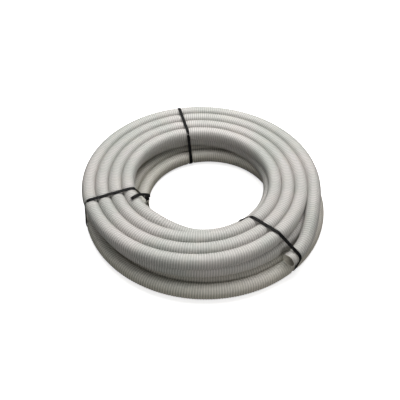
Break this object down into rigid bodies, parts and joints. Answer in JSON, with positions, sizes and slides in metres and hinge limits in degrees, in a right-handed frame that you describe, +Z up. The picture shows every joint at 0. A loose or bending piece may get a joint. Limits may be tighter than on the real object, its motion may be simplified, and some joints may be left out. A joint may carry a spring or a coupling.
{
  "type": "waste hose coil",
  "caption": "Coil of ribbed, smooth-bore waste hose for a caravan's tanks, held by cable ties with pivoting pawls; one open end is free.",
  "frame": {"origin": "centre of the bounding box's base, on the surface that the coil lies on", "axes": "+Z up, along the coil's own axis; +X to the right and -Y to the front, towards the viewer whom the free end faces"},
  "size_m": [0.5872, 0.5963, 0.097],
  "materials": {
    "hose_wall": "satin",
    "tie_nylon": "satin"
  },
  "bodies": {
    "hose_and_ties": {"hose_coil": "hose_wall", "hose_free_end": "hose_wall", "hose_inner_end": "hose_wall", "tie_back": "tie_nylon", "tie_left": "tie_nylon", "tie_front": "tie_nylon"},
    "pawl_back": {"pawl_back": "tie_nylon"},
    "pawl_left": {"pawl_left": "tie_nylon"},
    "pawl_front": {"pawl_front": "tie_nylon"}
  },
  "joints": [
    {"name": "pawl_back_hinge", "type": "hinge", "parent": "hose_and_ties", "child": "pawl_back", "pos_m": [-0.07244, 0.28851, 0.01439], "axis": [0.9703, 0.2419, 0], "range_deg": [0, 12], "stiffness_Nm_per_rad": 0.017},
    {"name": "pawl_left_hinge", "type": "hinge", "parent": "hose_and_ties", "child": "pawl_left", "pos_m": [-0.13873, -0.03216, 0.04651], "axis": [-0.3907, 0.9205, 0], "range_deg": [0, 12], "stiffness_Nm_per_rad": 0.017},
    {"name": "pawl_front_hinge", "type": "hinge", "parent": "hose_and_ties", "child": "pawl_front", "pos_m": [0.08373, -0.11726, 0.00701], "axis": [-0.6561, -0.7547, 0], "range_deg": [0, 12], "stiffness_Nm_per_rad": 0.017}
  ]
}
